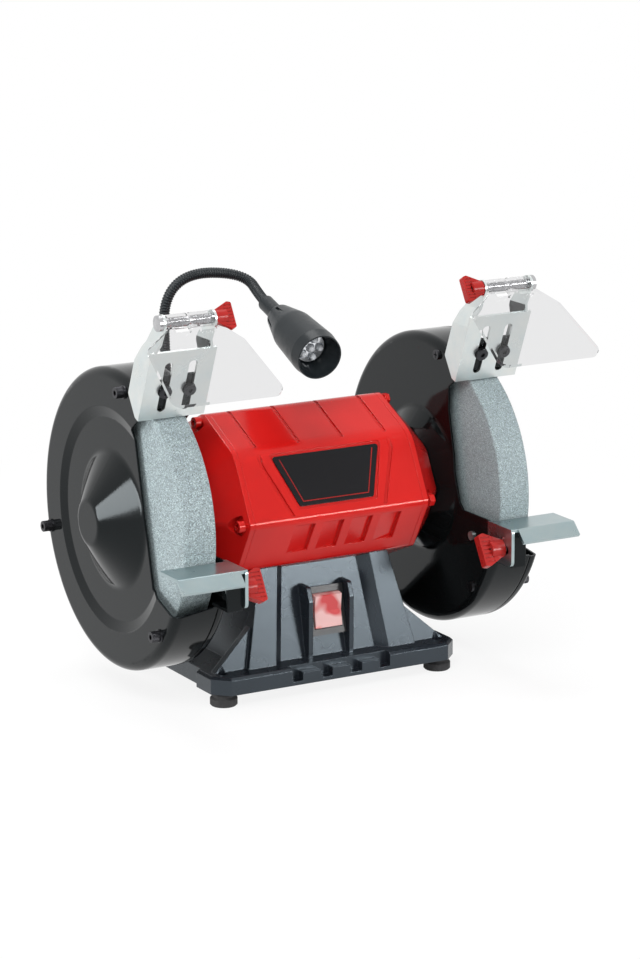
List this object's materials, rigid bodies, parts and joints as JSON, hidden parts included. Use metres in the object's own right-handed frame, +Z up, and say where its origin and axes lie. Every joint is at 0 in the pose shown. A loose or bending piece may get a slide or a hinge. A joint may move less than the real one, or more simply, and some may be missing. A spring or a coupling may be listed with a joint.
{
  "type": "bench grinder",
  "caption": "Bench grinder with guarded abrasive wheels on a motor shaft, tilting clear eye shields, sliding tool rests and a gooseneck work lamp, on a footed pedestal.",
  "frame": {"origin": "middle of the four bench bolt holes, on the bench under the rubber feet", "axes": "+X along the motor shaft to the user's right, +Y away from the user, +Z up"},
  "size_m": [0.3451, 0.2571, 0.2991],
  "materials": {
    "guard_black": "glossy",
    "red_paint": "glossy",
    "base_black": "satin",
    "zinc": "satin",
    "steel": "satin",
    "black_steel": "satin",
    "grit_coarse": "matte",
    "grit_fine": "matte",
    "clear": "glossy",
    "red_plastic": "glossy",
    "rocker_red": "glossy",
    "rubber": "matte",
    "black_plastic": "matte",
    "label": "glossy",
    "copper": "satin",
    "aluminium": "satin",
    "card": "matte",
    "led": "glossy",
    "chrome": "glossy"
  },
  "bodies": {
    "stand": {"base_casting": "base_black", "bottom_plate": "black_steel", "bottom_screws": "steel", "rubber_feet": "rubber", "switch_body": "black_plastic", "cord_gland": "black_plastic", "capacitor": "black_plastic", "terminal_block": "black_plastic", "motor_shell": "red_paint", "label_plate": "label", "end_shield_left": "red_paint", "end_shield_right": "red_paint", "tie_bolts": "black_steel", "stator_core": "steel", "stator_windings": "copper", "bearing_outer_rings": "steel", "guard_inner_left": "guard_black", "guard_inner_right": "guard_black", "guard_cover_left": "guard_black", "guard_cover_right": "guard_black", "guard_straps": "guard_black", "guard_cover_screws": "black_steel", "guard_strap_screws": "black_steel", "guard_hub_screws": "black_steel", "spark_guard_screws": "black_steel", "rest_bracket_left": "guard_black", "rest_bracket_right": "guard_black", "rest_studs": "steel", "lamp_socket": "black_plastic", "gooseneck_lower": "black_steel"},
    "rotor": {"shaft": "steel", "rotor_core": "aluminium", "wheel_left": "grit_coarse", "wheel_right": "grit_fine", "wheel_flanges": "steel", "wheel_blotters": "card", "wheel_nuts": "steel", "bearing_inner_rings": "steel"},
    "rocker": {"switch_rocker": "rocker_red"},
    "lamp_arm": {"gooseneck_upper": "black_steel"},
    "lamp": {"lamp_head": "black_plastic", "lamp_reflector": "chrome", "lamp_leds": "led"},
    "spark_left": {"spark_guard_left": "zinc", "shield_rod_left": "black_steel"},
    "shield_left": {"eye_shield_left": "clear"},
    "shield_wing_left": {"shield_knob_left": "red_plastic"},
    "rest_left": {"tool_rest_left": "zinc"},
    "rest_wing_left": {"rest_knob_left": "red_plastic"},
    "spark_right": {"spark_guard_right": "zinc", "shield_rod_right": "black_steel"},
    "shield_right": {"eye_shield_right": "clear"},
    "shield_wing_right": {"shield_knob_right": "red_plastic"},
    "rest_right": {"tool_rest_right": "zinc"},
    "rest_wing_right": {"rest_knob_right": "red_plastic"}
  },
  "joints": [
    {"name": "rotor_spin", "type": "hinge", "parent": "stand", "child": "rotor", "pos_m": [0, 0, 0.132], "axis": [1, 0, 0], "continuous": true},
    {"name": "switch_rock", "type": "hinge", "parent": "stand", "child": "rocker", "pos_m": [0, -0.04804, 0.05559], "axis": [1, 0, 0], "range_deg": [-18, 0]},
    {"name": "lamp_lean", "type": "hinge", "parent": "stand", "child": "lamp_arm", "pos_m": [-0.057, 0.088, 0.176], "axis": [0, 1, 0], "range_deg": [-15, 12], "deforming": ["gooseneck_lower"]},
    {"name": "lamp_nod", "type": "hinge", "parent": "lamp_arm", "child": "lamp", "pos_m": [0.0095, 0.088, 0.282], "axis": [1, 0, 0], "range_deg": [-25, 8], "deforming": ["gooseneck_upper"]},
    {"name": "spark_guard_slide_left", "type": "slide", "parent": "stand", "child": "spark_left", "axis": [0, -0.373, 0.9278], "range_m": [0, 0.014]},
    {"name": "shield_tilt_left", "type": "hinge", "parent": "spark_left", "child": "shield_left", "pos_m": [-0.13, -0.08299, 0.28928], "axis": [1, 0, 0], "range_deg": [-75, 20]},
    {"name": "shield_knob_turn_left", "type": "hinge", "parent": "spark_left", "child": "shield_wing_left", "pos_m": [-0.13, -0.08299, 0.28928], "axis": [1, 0, 0], "continuous": true},
    {"name": "tool_rest_slide_left", "type": "slide", "parent": "stand", "child": "rest_left", "axis": [0, 1, 0], "range_m": [-0.012, 0]},
    {"name": "rest_knob_turn_left", "type": "hinge", "parent": "stand", "child": "rest_wing_left", "pos_m": [-0.1095, -0.11572, 0.103], "axis": [1, 0, 0], "continuous": true},
    {"name": "spark_guard_slide_right", "type": "slide", "parent": "stand", "child": "spark_right", "axis": [0, -0.373, 0.9278], "range_m": [0, 0.014]},
    {"name": "shield_tilt_right", "type": "hinge", "parent": "spark_right", "child": "shield_right", "pos_m": [0.13, -0.08299, 0.28928], "axis": [1, 0, 0], "range_deg": [-75, 20]},
    {"name": "shield_knob_turn_right", "type": "hinge", "parent": "spark_right", "child": "shield_wing_right", "pos_m": [0.13, -0.08299, 0.28928], "axis": [1, 0, 0], "continuous": true},
    {"name": "tool_rest_slide_right", "type": "slide", "parent": "stand", "child": "rest_right", "axis": [0, 1, 0], "range_m": [-0.012, 0]},
    {"name": "rest_knob_turn_right", "type": "hinge", "parent": "stand", "child": "rest_wing_right", "pos_m": [0.1095, -0.11572, 0.103], "axis": [1, 0, 0], "continuous": true}
  ]
}
